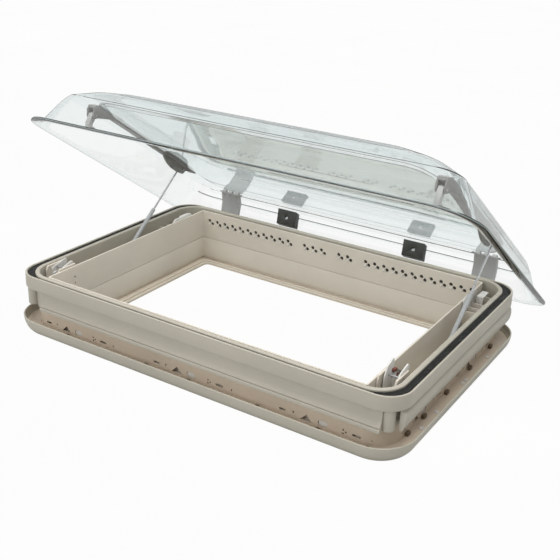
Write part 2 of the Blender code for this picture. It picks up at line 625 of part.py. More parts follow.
# Side channels --------------------------------------------------------------
def build_catch(side, x_side):
    """Fixed catch at the front of the channel: two tall cheeks that carry a steel striker bar."""
    floor = CHANNEL_FLOOR + GAP
    inner, outer, cheek_width = 0.3206, 0.3527, 0.0032
    base = boxes("catch_block_" + side, [((x_side * inner, x_side * outer), (-0.204, -0.125),
                                          (floor, floor + 0.004))])
    tall = [(-0.202, floor + 0.001), (-0.202, -0.006), (-0.194, 0.010), (-0.182, 0.0175), (-0.168, 0.0165),
            (-0.160, 0.004), (-0.144, -0.030), (-0.130, floor + 0.001)]
    cheeks = []
    for name, near, far in (("inner", inner, inner + cheek_width), ("outer", outer - cheek_width, outer)):
        cheeks.append(side_plate("catch_cheek_%s_%s" % (name, side), [tall], x_side * near, x_side * far))
    unite(base, cheeks)
    bar_centre = (x_side * (inner + outer) / 2, STRIKER_Y, STRIKER_Z)
    cut(base, [rods("striker_bore_" + side, [(bar_centre, "X", 0.0023, 0.045)], 12)])
    place(base, FRAME, BEIGE)
    bar = rods("striker_bar_" + side, [(bar_centre, "X", 0.0020, outer - inner + 0.0004)], 12)
    place(bar, FRAME, STEEL)


def build_rail_clip(side, x_side):
    """Pale spring clip that stands against the channel's inner wall near the hinge side."""
    floor, wall_x = CHANNEL_FLOOR + GAP, LINER_X + WALL + GAP
    outline = [(0.128, floor), (0.188, floor), (0.188, 0.000), (0.184, 0.0035), (0.134, 0.0035),
               (0.128, -0.002)]
    clip = side_plate("rail_clip_" + side, [outline], x_side * wall_x, x_side * (wall_x + WALL))
    place(clip, FRAME, WHITE)


def build_stay(side, x_side):
    """Telescopic stay: a foot in the channel, a pivoting tube and a sliding rod."""
    x = x_side * STAY_X
    floor = CHANNEL_FLOOR + GAP
    foot = boxes("stay_foot_" + side, [((x - 0.0080, x + 0.0080), (STAY_Y - 0.012, STAY_Y + 0.014),
                                        (floor, floor + 0.003))])
    ear = [(STAY_Y - 0.010, floor + 0.001)] + arc((STAY_Y, STAY_Z), 0.0055, 180, 0)
    ear += [(STAY_Y + 0.010, floor + 0.001)]
    ears = [side_plate("stay_ear_%s_%s" % (name, side), [ear], x0, x1)
            for name, x0, x1 in (("near", x - 0.0078, x - 0.0053), ("far", x + 0.0053, x + 0.0078))]
    unite(foot, ears)
    bore = rods("stay_foot_bore_" + side, [((x, STAY_Y, STAY_Z), "X", 0.0018, 0.03)], 12)
    cut(foot, [bore])
    place(foot, FRAME, GREY)
    pin = rods("stay_foot_pin_" + side, [((x, STAY_Y, STAY_Z), "X", 0.0015, 0.0190)], 12)
    place(pin, FRAME, STEEL)

    turned = turn_about_hinge(EYE_Y, EYE_Z)
    reach = math.hypot(turned[0] - STAY_Y, turned[1] - STAY_Z)
    slope = math.atan2(turned[1] - STAY_Z, turned[0] - STAY_Y)
    axis = empty("stay_axis_" + side, (x, STAY_Y, STAY_Z), RIM_FRAME, slope)
    holder = (axis, (0.0, 0.0, 0.0))
    tube = rods("stay_tube_" + side, [((0.0, TUBE_LENGTH / 2 + 0.003, 0.0), "Y", TUBE_R,
                                       TUBE_LENGTH - 0.006)])
    knuckle = side_plate("tube_knuckle_" + side, [hull((0.0, 0.0), 0.0050, (0.010, 0.0), 0.0042)],
                         -0.0048, 0.0048)
    unite(tube, [knuckle], holder)
    bore_low, bore_high = 0.0065, TUBE_LENGTH + 0.02
    cut(tube, [rods("tube_bore_" + side, [((0.0, (bore_high + bore_low) / 2, 0.0), "Y", ROD_R + 0.0004,
                                           bore_high - bore_low)], 12),
               rods("tube_pin_bore_" + side, [((0.0, 0.0, 0.0), "X", 0.0018, 0.02)], 12)], holder)
    place(tube, holder, WHITE)

    rod_low = TUBE_LENGTH - ROD_OVERLAP
    rod = rods("stay_rod_" + side, [((0.0, (rod_low + reach - 0.003) / 2, 0.0), "Y", ROD_R,
                                     reach - 0.003 - rod_low)], 12)
    eye = side_plate("rod_eye_" + side, [arc((reach, 0.0), 0.0045, 0, 337.5, 15)], -0.0016, 0.0016)
    unite(rod, [eye], holder)
    cut(rod, [rods("rod_eye_bore_" + side, [((0.0, reach, 0.0), "X", 0.0022, 0.02)], 12)], holder)
    place(rod, holder, STEEL)


def turn_about_hinge(y, z):
    """Where a point of the closed lid stands when the lid is open."""
    along, up = y - HINGE_Y, z - HINGE_Z
    cosine, sine = math.cos(LID_ANGLE), math.sin(LID_ANGLE)
    return HINGE_Y + along * cosine + up * sine, HINGE_Z - along * sine + up * cosine


# Assembly -------------------------------------------------------------------
build_outer_frame()
build_inner_liner()
build_ceiling_frame()
build_rim_seal()
build_frame_screws()
build_lid()
for side_name, side_sign in SIDES:
    build_hinge_base(side_name, side_sign)
    build_hinge_arm(side_name, side_sign)
    build_rear_block(side_name, side_sign)
    build_side_bracket(side_name, side_sign)
    build_latch_hook(side_name, side_sign)
    build_catch(side_name, side_sign)
    build_rail_clip(side_name, side_sign)
    build_stay(side_name, side_sign)
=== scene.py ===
"""Looks of the roof hatch: clear double-pane lid on stays over a beige two-part frame.

Lengths are metres. Shapes are written in the rim frame: X along the hinge, Y towards the hinge,
Z up from the rim's top face. Shapes on the lid are written where they lie when it is closed.
"""
import json
import math

import bmesh
import bpy
from mathutils import Matrix, Vector


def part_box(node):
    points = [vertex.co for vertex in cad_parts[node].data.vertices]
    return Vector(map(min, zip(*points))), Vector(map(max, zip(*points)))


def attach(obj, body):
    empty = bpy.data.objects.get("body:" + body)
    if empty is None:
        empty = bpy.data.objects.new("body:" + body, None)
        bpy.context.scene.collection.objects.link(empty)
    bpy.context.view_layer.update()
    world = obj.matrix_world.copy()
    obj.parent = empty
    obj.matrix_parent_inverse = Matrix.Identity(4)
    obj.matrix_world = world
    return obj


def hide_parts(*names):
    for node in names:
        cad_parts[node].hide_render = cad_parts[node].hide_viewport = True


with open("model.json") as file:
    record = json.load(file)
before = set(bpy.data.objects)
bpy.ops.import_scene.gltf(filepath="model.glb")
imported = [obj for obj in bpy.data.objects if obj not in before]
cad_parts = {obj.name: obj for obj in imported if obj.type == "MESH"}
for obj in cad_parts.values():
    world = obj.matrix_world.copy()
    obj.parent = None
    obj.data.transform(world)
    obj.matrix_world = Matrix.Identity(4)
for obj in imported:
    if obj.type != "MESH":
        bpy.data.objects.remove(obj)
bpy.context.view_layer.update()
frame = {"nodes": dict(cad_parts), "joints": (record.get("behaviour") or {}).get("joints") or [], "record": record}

# Places read from the frame -------------------------------------------------
RIM_LOW, RIM_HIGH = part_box("outer_frame")
BAND_PROUD = 0.0005                                  # the band's lip stands this far out of the rim
COAMING_RISE = 0.002                                 # the coaming stands this far above the rim
RIM_X = RIM_HIGH.x
RIM_Y = (RIM_HIGH.y - RIM_LOW.y) / 2 - BAND_PROUD
RIM_TO_ROW = Matrix.Translation((0.0, (RIM_LOW.y + RIM_HIGH.y) / 2, RIM_HIGH.z - COAMING_RISE))
HINGE = next(joint for joint in frame["joints"] if joint["name"] == "lid_hinge")
LID_ANGLE = math.radians(-HINGE["range_deg"][0])
HINGE_ROW = Vector(HINGE["pos_m"])
HINGE_RIM = RIM_TO_ROW.inverted() @ HINGE_ROW
LID_TO_ROW = (Matrix.Translation(HINGE_ROW) @ Matrix.Rotation(-LID_ANGLE, 4, "X")
              @ Matrix.Translation(-HINGE_RIM))

# Sizes shared by several pieces ---------------------------------------------
RIM_R, RIM_WALL, RIM_BOTTOM = 0.044, 0.004, -0.025
GUTTER_TOP, GUTTER_BOTTOM = -0.013, -0.017
COAMING_X, COAMING_Y, COAMING_R, COAMING_WALL = 0.366, 0.2415, 0.048, 0.008
SEAL_TOP = -0.001
BAND_X, BAND_TOP, BAND_BOTTOM = 0.379, -0.0165, -0.0617
BAND_END = 0.026                                     # a band stops this far short of the corner
BAND_DEPTH, SIDE_BAND_DEPTH = 0.0125, 0.0072         # from the rim's outer face inwards
LEFT_TRIM_FRONT, LEFT_TRIM_SIDE = 0.028, 0.030       # shorter still beside the left front corner
POST_X, POST_Y, POST_R, POST_HEAD_R, POST_HEAD_LOW = 0.3575, 0.2285, 0.0105, 0.0125, -0.0245
LINER_X, LINER_Y, WALL = 0.317, 0.2262, 0.003
CHANNEL_FLOOR = -0.0545
CEILING_X, CEILING_Y, CEILING_R = 0.392, 0.262, 0.064
CEILING_TOP, CEILING_BOTTOM = -0.081, -0.115
WEB_TOP, WEB_BOTTOM = -0.0965, -0.0990
TOWER_X, TOWER_Y, TOWER_R = 0.3625, 0.2350, 0.0445
HOLES_Z, HOLES_PITCH = -0.0870, 0.2494
OPENING_X, OPENING_Y = 0.296, 0.209
FLANGE_Z = -0.037
LID_X, LID_FRONT, LID_BACK, LID_R = 0.429, -0.280, 0.316, 0.076
INNER_TOP = FLANGE_Z + 0.0648
GAP = 0.0003
CATCH_TOP = 0.002
VENT_HIGH, VENT_LOW, VENT_PITCH, VENT_SLANT = -0.0205, -0.0262, 0.0200, 0.0074
SIDES = (("left", -1), ("right", 1))
NODE_BODY = {node: body for body, nodes in frame["record"]["behaviour"]["bodies"].items() for node in nodes}


# Materials ------------------------------------------------------------------
class Graph:
    """A material's node tree, with short calls to add and join nodes."""

    def __init__(self, name):
        self.material = bpy.data.materials.new(name)
        self.material.use_nodes = True
        self.tree = self.material.node_tree
        self.shader = self.tree.nodes["Principled BSDF"]
        self.place = self.add("ShaderNodeTexCoord").outputs["Object"]

    def add(self, kind, settings=None, **inputs):
        node = self.tree.nodes.new(kind)
        for key, value in (settings or {}).items():
            setattr(node, key, value)
        for key, value in inputs.items():
            self.feed(node.inputs[key.replace("_", " ")], value)
        return node

    def feed(self, socket, value):
        if isinstance(value, bpy.types.NodeSocket):
            self.tree.links.new(value, socket)
        else:
            socket.default_value = value

    def noise(self, scale, detail=3.0, roughness=0.55, stretch=None):
        """Noise in metres; stretch scales it along each axis."""
        place = self.place
        if stretch:
            place = self.add("ShaderNodeMapping", Vector=place, Scale=stretch).outputs["Vector"]
        return self.add("ShaderNodeTexNoise", Vector=place, Scale=scale, Detail=detail,
                        Roughness=roughness).outputs["Fac"]

    def spread(self, value, low, high, start=0.3, end=0.7):
        """Maps the middle of a noise to a range."""
        node = self.add("ShaderNodeMapRange", Value=value)
        for key, number in (("From Min", start), ("From Max", end), ("To Min", low), ("To Max", high)):
            node.inputs[key].default_value = number
        return node.outputs["Result"]

    def mix(self, factor, first, second):
        node = self.add("ShaderNodeMix", {"data_type": "RGBA"})
        self.feed(node.inputs[0], factor)
        self.feed(node.inputs[6], first)
        self.feed(node.inputs[7], second)
        return node.outputs[2]

    def painted_edge_highlight(self, radius, gain):
        """Near 1 where a rounded-off normal leaves the true one, at edges; it sets where the edge highlight is
        painted.
        """
        rounded = self.add("ShaderNodeBevel", {"samples": 4}, Radius=radius).outputs["Normal"]
        flat = self.add("ShaderNodeNewGeometry").outputs["Normal"]
        dot = self.add("ShaderNodeVectorMath", {"operation": "DOT_PRODUCT"})
        self.tree.links.new(rounded, dot.inputs[0])
        self.tree.links.new(flat, dot.inputs[1])
        return self.spread(dot.outputs["Value"], gain, 0.0, 0.80, 1.0)

    def swap(self, factor, other):
        """Puts another shader in where the factor is 1."""
        mixer = self.add("ShaderNodeMixShader")
        self.feed(mixer.inputs[0], factor)
        self.tree.links.new(self.shader.outputs["BSDF"], mixer.inputs[1])
        self.tree.links.new(other, mixer.inputs[2])
        output = next(node for node in self.tree.nodes if node.type == "OUTPUT_MATERIAL")
        self.tree.links.new(mixer.outputs["Shader"], output.inputs["Surface"])

    def bump(self, *layers):
        """Stacks height layers of (height, distance in metres) into the shader's normal."""
        normal = None
        for height, distance in layers:
            node = self.add("ShaderNodeBump", Height=height, Distance=distance)
            node.inputs["Strength"].default_value = 1.0
            if normal is not None:
                self.tree.links.new(normal, node.inputs["Normal"])
            normal = node.outputs["Normal"]
        self.tree.links.new(normal, self.shader.inputs["Normal"])


def linear(red, green, blue):
    """Colour from 0 to 255 values as they are seen."""
    return tuple(((c / 255 + 0.055) / 1.055) ** 2.4 for c in (red, green, blue)) + (1.0,)


def shade(colour, factor):
    return tuple(min(1.0, c * factor) for c in colour[:3]) + (1.0,)


def moulded(name, colour, roughness=0.42, grain=0.00004, edge=0.35, mottle=0.05):
    """Moulded plastic: fine spark grain, faint flow mottling, and a painted highlight that lightens the edges."""
    graph = Graph(name)
    flow = graph.spread(graph.noise(9.0, 4.0), 0.0, 1.0)
    body = graph.mix(flow, shade(colour, 1.0 - mottle), shade(colour, 1.0 + mottle))
    speck = graph.spread(graph.noise(420.0, 2.0), 0.0, 0.25, 0.55, 0.75)
    body = graph.mix(speck, body, shade(colour, 0.93))
    # Painted highlight: edges lighter, by up to the edge gain.
    body = graph.mix(graph.painted_edge_highlight(0.0012, edge), body, shade(colour, 1.22))
    graph.feed(graph.shader.inputs["Base Color"], body)
    gloss = graph.spread(graph.noise(35.0, 3.0), roughness - 0.05, roughness + 0.08)
    graph.feed(graph.shader.inputs["Roughness"], gloss)
    graph.bump((graph.noise(1500.0, 2.0), grain), (graph.noise(60.0, 2.0), 0.00008))
    return graph.material


def rubber(name, colour):
    """Matt rubber with dust in faint streaks."""
    graph = Graph(name)
    dust = graph.spread(graph.noise(40.0, 5.0), 0.0, 0.5, 0.45, 0.75)
    graph.feed(graph.shader.inputs["Base Color"], graph.mix(dust, colour, shade(colour, 1.7)))
    graph.feed(graph.shader.inputs["Roughness"], graph.spread(graph.noise(90.0), 0.55, 0.75))
    graph.bump((graph.noise(900.0, 3.0), 0.00006))
    return graph.material


def steel(name, colour, roughness):
    """Drawn bright steel: fine lines, with duller patches."""
    graph = Graph(name)
    patch = graph.spread(graph.noise(55.0, 4.0), 0.0, 1.0)
    graph.feed(graph.shader.inputs["Base Color"], graph.mix(patch, shade(colour, 0.88), colour))
    graph.shader.inputs["Metallic"].default_value = 1.0
    graph.feed(graph.shader.inputs["Roughness"],
               graph.spread(graph.noise(300.0, 3.0), roughness - 0.06, roughness + 0.12))
    graph.bump((graph.noise(1400.0, 2.0, stretch=(0.06, 1.0, 1.0)), 0.00002))
    return graph.material


def acrylic(name, face, edge, shade_through):
    """Clear tinted sheet: greener where it is seen edge on, with faint handling haze; lamps shine through."""
    graph = Graph(name)
    grazing = graph.add("ShaderNodeLayerWeight", Blend=0.35).outputs["Facing"]
    graph.feed(graph.shader.inputs["Base Color"],
               graph.mix(graph.spread(grazing, 0.0, 1.0, 0.10, 0.90), face, edge))
    graph.shader.inputs["Transmission Weight"].default_value = 1.0
    graph.shader.inputs["IOR"].default_value = 1.49
    haze = graph.noise(14.0, 5.0)
    graph.feed(graph.shader.inputs["Roughness"], graph.spread(haze, 0.0, 0.035, 0.5, 0.8))
    through = graph.add("ShaderNodeBsdfTransparent", Color=shade_through)
    graph.swap(graph.add("ShaderNodeLightPath").outputs["Is Shadow Ray"], through.outputs["BSDF"])
    return graph.material


BEIGE = moulded("beige_shell", linear(172, 167, 154))
BEIGE_INSIDE = moulded("beige_liner", linear(208, 200, 187))
BEIGE_TRAY = moulded("beige_tray", linear(200, 186, 168), roughness=0.5)
GREY = moulded("grey_plastic_satin", linear(172, 172, 170), roughness=0.38, edge=0.5)
DARK = moulded("dark_plastic", linear(70, 71, 68), roughness=0.5, edge=0.5)
WHITE = moulded("pale_plastic", linear(206, 204, 199), roughness=0.35)
BRACKET = moulded("bracket_plastic", linear(124, 122, 119), roughness=0.42, edge=0.6, mottle=0.12)
TUBE = moulded("tube_plastic", linear(164, 166, 166), roughness=0.35)
RED = moulded("red_brown_plastic", linear(112, 62, 50), roughness=0.45)
# Dark brown for the blocks that paint the shade beside the tray's upright wall.
PAINTED_SHADE_BROWN = moulded("painted_shade_brown", linear(104, 88, 68), roughness=0.5)
RUBBER = rubber("seal_rubber", linear(24, 25, 23))
STEEL = steel("bright_steel_drawn", (0.62, 0.62, 0.63, 1.0), 0.26)
DARK_STEEL = steel("dark_steel_drawn", (0.20, 0.20, 0.21, 1.0), 0.34)
ACRYLIC = acrylic("clear_acrylic_sheet", (0.97, 0.978, 0.975, 1.0), (0.66, 0.78, 0.78, 1.0),
                  (0.965, 0.975, 0.973, 1.0))
EDGE = moulded("sawn_acrylic_edge", linear(128, 138, 137), roughness=0.3, grain=0.00002)


# Shapes ---------------------------------------------------------------------
def eased(points, reach, steps=3, closed=True):
    """Path with each corner turned into a short curve; reach is a length or one for each point."""
    count = len(points)
    made = []
    for i, point in enumerate(points):
        corner = Vector(point)
        if not closed and i in (0, count - 1):
            made.append(corner)
            continue
        back = Vector(points[i - 1]) - corner
        ahead = Vector(points[(i + 1) % count]) - corner
        length = reach[i] if isinstance(reach, (list, tuple)) else reach
        length = min(length, 0.45 * back.length, 0.45 * ahead.length)
        if length <= 0.0 or back.normalized().dot(ahead.normalized()) < -0.999:
            made.append(corner)
            continue
        start = corner + back.normalized() * length
        end = corner + ahead.normalized() * length
        for step in range(steps + 1):
            t = step / steps
            made.append(start * (1 - t) ** 2 + corner * 2 * t * (1 - t) + end * t ** 2)
    return [tuple(point) for point in made]


def round_path(half_x, half_y, radius, middle_y=0.0, steps=14):
    """Rounded rectangle as (point, outward direction), counter-clockwise."""
    path = []
    for x_side, y_side, start in ((1, 1, 0), (-1, 1, 90), (-1, -1, 180), (1, -1, 270)):
        for step in range(steps + 1):
            angle = math.radians(start + 90 * step / steps)
            out = Vector((math.cos(angle), math.sin(angle)))
            centre = Vector((x_side * (half_x - radius), middle_y + y_side * (half_y - radius)))
            path.append((centre + out * radius, out))
    return path


def outline(half_x, half_y, radius, middle_y=0.0, steps=14):
    return [tuple(point) for point, _ in round_path(half_x, half_y, radius, middle_y, steps)]


def ring(mesh_data, profile, half_x, half_y, radius, middle_y=0.0, steps=14):
    """Closed profile of (distance in, height) swept round a rounded rectangle."""
    loops = []
    for point, out in round_path(half_x, half_y, radius, middle_y, steps):
        loop = []
        for inset, height in profile:
            at = point - out * inset
            loop.append(mesh_data.verts.new((at.x, at.y, height)))
        loops.append(loop)
    join(mesh_data, loops)


def between(mesh_data, outside, inside, section):
    """Closed section of (share of the way in, height) swept between two outlines of equal count."""
    join(mesh_data, [[mesh_data.verts.new((x + (u - x) * share, y + (v - y) * share, height))
                      for share, height in section] for (x, y), (u, v) in zip(outside, inside)])


def join(mesh_data, loops):
    """Faces between neighbouring loops, and from the last back to the first."""
    for first, second in zip(loops, loops[1:] + loops[:1]):
        for i in range(len(first)):
            j = (i + 1) % len(first)
            mesh_data.faces.new((first[i], first[j], second[j], second[i]))


ALONG = {"X": lambda a, u, v: (a, u, v), "Y": lambda a, u, v: (u, a, v), "Z": lambda a, u, v: (u, v, a)}


def prism(mesh_data, points, axis, low, high):
    """Flat outline given in the two other axes, drawn out along one axis."""
    ends = [[mesh_data.verts.new(ALONG[axis](at, u, v)) for u, v in points] for at in (low, high)]
    mesh_data.faces.new(ends[0])
    mesh_data.faces.new(ends[1])
    for i in range(len(points)):
        j = (i + 1) % len(points)
        mesh_data.faces.new((ends[0][i], ends[0][j], ends[1][j], ends[1][i]))


def block(mesh_data, xs, ys, zs):
    prism(mesh_data, [(ys[0], zs[0]), (ys[1], zs[0]), (ys[1], zs[1]), (ys[0], zs[1])], "X", *xs)


def rod(mesh_data, start, end, radius, sides=24):
    """Round bar between two points."""
    start, end = Vector(start), Vector(end)
    line = end - start
    turn = line.to_track_quat("Z", "Y").to_matrix().to_4x4()
    bmesh.ops.create_cone(mesh_data, cap_ends=True, segments=sides, radius1=radius,
                          radius2=radius, depth=line.length,
                          matrix=Matrix.Translation((start + end) / 2) @ turn)


def wire(mesh_data, points, radius, sides=12):
    """Round wire along a path, with closed ends."""
    points = [Vector(point) for point in points]
    side = None
    loops = []
    for i, point in enumerate(points):
        ahead = (points[min(i + 1, len(points) - 1)] - points[max(i - 1, 0)]).normalized()
        if side is None:
            side = ahead.orthogonal().normalized()
        side = (side - ahead * side.dot(ahead)).normalized()
        across = ahead.cross(side)
        loop = []
        for step in range(sides):
            angle = 2 * math.pi * step / sides
            out = side * math.cos(angle) + across * math.sin(angle)
            loop.append(mesh_data.verts.new(point + out * radius))
        loops.append(loop)
    for first, second in zip(loops, loops[1:]):
        for i in range(sides):
            j = (i + 1) % sides
            mesh_data.faces.new((first[i], first[j], second[j], second[i]))
    mesh_data.faces.new(loops[0])
    mesh_data.faces.new(loops[-1])


def make(name, mesh_data, place=RIM_TO_ROW, smooth_angle=32):
    """Object from the mesh, in the row frame, with faces pointing out."""
    bmesh.ops.remove_doubles(mesh_data, verts=mesh_data.verts, dist=0.000002)
    bmesh.ops.recalc_face_normals(mesh_data, faces=mesh_data.faces)
    mesh_data.transform(place)
    mesh = bpy.data.meshes.new(name)
    mesh_data.to_mesh(mesh)
    mesh_data.free()
    mesh.shade_smooth()
    mesh.set_sharp_from_angle(angle=math.radians(smooth_angle))
    piece = bpy.data.objects.new(name, mesh)
    bpy.context.scene.collection.objects.link(piece)
    return piece


def settle(piece, smooth_angle=32):
    """Applies the piece's modifiers."""
    depsgraph = bpy.context.evaluated_depsgraph_get()
    depsgraph.update()
    mesh = bpy.data.meshes.new_from_object(piece.evaluated_get(depsgraph))
    old = piece.data
    piece.modifiers.clear()
    piece.data = mesh
    bpy.data.meshes.remove(old)
    mesh.shade_smooth()
    mesh.set_sharp_from_angle(angle=math.radians(smooth_angle))


def carve(piece, tools):
    """Cuts the tools out of the piece and removes them."""
    for tool in tools:
        step = piece.modifiers.new(tool.name, "BOOLEAN")
        step.operation = "DIFFERENCE"
        step.object = tool
        step.solver = "EXACT"
    settle(piece)
    for tool in tools:
        bpy.data.objects.remove(tool, do_unlink=True)


def round_edges(piece, width):
    bevel = piece.modifiers.new("round_edges", "BEVEL")
    bevel.width = width
    bevel.segments = 2
    bevel.limit_method = "ANGLE"
    bevel.angle_limit = math.radians(38)
    bevel.harden_normals = False
    settle(piece, smooth_angle=40)


def dress(piece, node, material, edge=0.0):
    """Gives a piece its look, hides the node it stands in for, and hangs it on what that node rides on."""
    if edge:
        round_edges(piece, edge)
    piece.data.materials.clear()
    piece.data.materials.append(material)
    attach(piece, NODE_BODY[node])
    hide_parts(node)
    return piece


def refined(node, material, edge=0.0004):
    """The node's own shape with its edges rounded."""
    mesh_data = bmesh.new()
    mesh_data.from_mesh(frame["nodes"][node].data)
    bmesh.ops.remove_doubles(mesh_data, verts=mesh_data.verts, dist=0.000002)
    bmesh.ops.dissolve_limit(mesh_data, angle_limit=math.radians(0.5), verts=mesh_data.verts,
                             edges=mesh_data.edges)
    piece = make(node + "_finished", mesh_data, Matrix.Identity(4))
    return dress(piece, node, material, edge)


# Outer frame ----------------------------------------------------------------
def build_rim():
    mesh_data = bmesh.new()
    section = [(0.0003, 0.0), (0.0, RIM_BOTTOM), (RIM_WALL, RIM_BOTTOM), (RIM_WALL, 0.0)]
    ring(mesh_data, eased(section, 0.0013), RIM_X, RIM_Y, RIM_R)
    between(mesh_data, outline(RIM_X - 0.002, RIM_Y - 0.002, RIM_R - 0.002),
            outline(COAMING_X - 0.002, COAMING_Y - 0.002, COAMING_R - 0.002),
            [(0.0, GUTTER_BOTTOM), (0.0, GUTTER_TOP), (1.0, GUTTER_TOP), (1.0, GUTTER_BOTTOM)])
    dress(make("rim_ring", mesh_data), "outer_frame", BEIGE)

    mesh_data = bmesh.new()
    section = [(0.0, BAND_BOTTOM), (0.0, COAMING_RISE - 0.0012), (0.0022, COAMING_RISE),
               (0.0058, COAMING_RISE), (0.0062, COAMING_RISE - 0.0008), (COAMING_WALL, COAMING_RISE - 0.0008),
               (COAMING_WALL, BAND_BOTTOM)]
    ring(mesh_data, eased(section, 0.0010), COAMING_X, COAMING_Y, COAMING_R)
    coaming = make("coaming", mesh_data)
    tools = bmesh.new()
    for low, high in ((-0.307, -0.087), (-0.067, -0.007), (0.013, 0.053), (0.073, 0.306)):
        block(tools, (low, high), (0.222, 0.248), (-0.030, -0.0140))
    carve(coaming, [make("vent_slots", tools)])
    dress(coaming, "outer_frame", BEIGE)


def band_section(bulge):
    """Outer face of the lower band as (distance out, height): cove, flare and lip, or a side's bulge."""
    if not bulge:
        return eased([(-0.0070, BAND_TOP), (-0.0070, -0.0365), (-0.0052, -0.0450), (-0.0006, -0.0532),
                      (-0.0030, -0.0546), (0.0004, -0.0560), (0.0004, BAND_BOTTOM + 0.0006),
                      (-0.0005, BAND_BOTTOM)], [0.0, 0.003, 0.004, 0.0004, 0.0003, 0.0004, 0.0, 0.0],
                     closed=False)
    return eased([(-0.0065, BAND_TOP), (-0.0065, -0.0255), (0.0012, -0.0330), (0.0026, -0.0430),
                  (0.0010, -0.0540), (-0.0020, -0.0600), (-0.0026, BAND_BOTTOM)],
                 [0.0, 0.0006, 0.004, 0.004, 0.004, 0.001, 0.0], closed=False)


def build_bands():
    for name, y_side in (("front", -1), ("back", 1)):
        mesh_data = bmesh.new()
        points = [(y_side * (RIM_Y + out), z) for out, z in band_section(False)]
        inner = y_side * (RIM_Y - BAND_DEPTH)
        points += [(inner, BAND_BOTTOM), (inner, BAND_TOP)]
        prism(mesh_data, points, "X", -(BAND_X - BAND_END) + LEFT_TRIM_FRONT, BAND_X - BAND_END)
        dress(make("band_" + name, mesh_data), "outer_frame", BEIGE, 0.0007)
    for name, x_side in SIDES:
        mesh_data = bmesh.new()
        points = [(x_side * (BAND_X + out), z) for out, z in band_section(True)]
        inner = x_side * (BAND_X - SIDE_BAND_DEPTH)
        points += [(inner, BAND_BOTTOM), (inner, BAND_TOP)]
        trim = LEFT_TRIM_SIDE if x_side < 0 else 0.0
        prism(mesh_data, points, "Y", -(RIM_Y - BAND_END) + trim, RIM_Y - BAND_END)
        for i in range(11):
            y = -0.200 + 0.040 * i
            block(mesh_data, (x_side * (COAMING_X - 0.001), x_side * (BAND_X - 0.007)),
                  (y - 0.0009, y + 0.0009), (BAND_BOTTOM + 0.002, BAND_TOP - 0.0005))
        dress(make("band_" + name, mesh_data), "outer_frame", BEIGE, 0.0005)
    mesh_data = bmesh.new()
    for x_side in (-1, 1):
        for y_side in (-1, 1):
            x, y = x_side * POST_X, y_side * POST_Y
            head = (x, y, GUTTER_BOTTOM + 0.001)
            rod(mesh_data, head, (x, y, BAND_BOTTOM + 0.001), POST_R, sides=40)
            rod(mesh_data, head, (x, y, POST_HEAD_LOW), POST_HEAD_R, sides=40)
    dress(make("corner_posts", mesh_data), "outer_frame", BEIGE, 0.0006)


def build_seal():
    """Rubber strip that fills the gutter, with a shallow groove and a bead against the coaming."""
    mesh_data = bmesh.new()
    outer, inner = RIM_WALL + GAP, -GAP
    low = GUTTER_TOP + GAP
    section = [(0.0, low), (0.0, SEAL_TOP - 0.0012), (0.10, SEAL_TOP - 0.0002), (0.30, SEAL_TOP - 0.0016),
               (0.72, SEAL_TOP - 0.0018), (0.86, SEAL_TOP), (1.0, SEAL_TOP - 0.0006), (1.0, low)]
    between(mesh_data, outline(RIM_X - outer, RIM_Y - outer, RIM_R - outer),
            outline(COAMING_X - inner, COAMING_Y - inner, COAMING_R - inner), section)
    dress(make("rim_seal_strip", mesh_data, smooth_angle=50), "rim_seal", RUBBER)


# Inner liner ----------------------------------------------------------------
def vent_places():
    """Middles of the vent holes: slanted pairs in four groups along the back wall, as (upper, lower)."""
    places = []
    for count, start in ((11, -0.3005), (3, -0.0608), (2, 0.0194), (12, 0.0797)):
        for i in range(count):
            across = start + i * VENT_PITCH
            places.append(((across, VENT_HIGH), (across + VENT_SLANT, VENT_LOW)))
    return places


def build_liner():
    top, bottom = -0.001, -0.0613
    mesh_data = bmesh.new()
    section = eased([(0.0, bottom), (0.0, top), (WALL, top), (WALL, bottom)], 0.0009)
    ring(mesh_data, section, LINER_X + WALL, LINER_Y + WALL, 0.0045, steps=6)
    liner = make("liner_wall", mesh_data)
    tools = bmesh.new()
    holes = [place for pair in vent_places() for place in pair][:-1]
    for x, z in holes:
        rod(tools, (x, LINER_Y - 0.004, z), (x, LINER_Y + 0.008, z), 0.0037, sides=16)
    for z in (-0.022, -0.034):
        rod(tools, (-LINER_X - 0.008, -0.165, z), (-LINER_X + 0.006, -0.165, z), 0.0019, sides=12)
    carve(liner, [make("vent_holes", tools)])
    dress(liner, "inner_liner", BEIGE_INSIDE)

    # Pale nubs at the lower left of the lower vent holes: painted highlights on the hole rims.
    mesh_data = bmesh.new()
    for _, (x, z) in vent_places()[:-1]:
        at = (x - 0.0068, LINER_Y - 0.0006, z - 0.0022)
        bmesh.ops.create_uvsphere(mesh_data, u_segments=14, v_segments=8, radius=0.0021,
                                  matrix=Matrix.Translation(at) @ Matrix.Diagonal((1.0, 0.6, 1.0, 1.0)))
    dress(make("vent_highlight_nubs", mesh_data), "inner_liner", WHITE)

    mesh_data = bmesh.new()
    for low, high in ((-0.306, -0.086), (-0.066, -0.008), (0.014, 0.052), (0.074, 0.305)):
        block(mesh_data, (low, high), (LINER_Y + 0.0036, LINER_Y + 0.0046), (-0.0310, -0.0155))
    dress(make("vent_screens", mesh_data), "inner_liner", DARK, 0.0003)

    inset = COAMING_WALL + GAP
    high, low = CHANNEL_FLOOR, CHANNEL_FLOOR - WALL
    floor = make_plate("channel_floor", outline(COAMING_X - inset, COAMING_Y - inset, COAMING_R - inset),
                       outline(LINER_X + 0.001, LINER_Y + 0.001, 0.004, steps=3), low, high)
    dress(floor, "inner_liner", BEIGE_INSIDE)


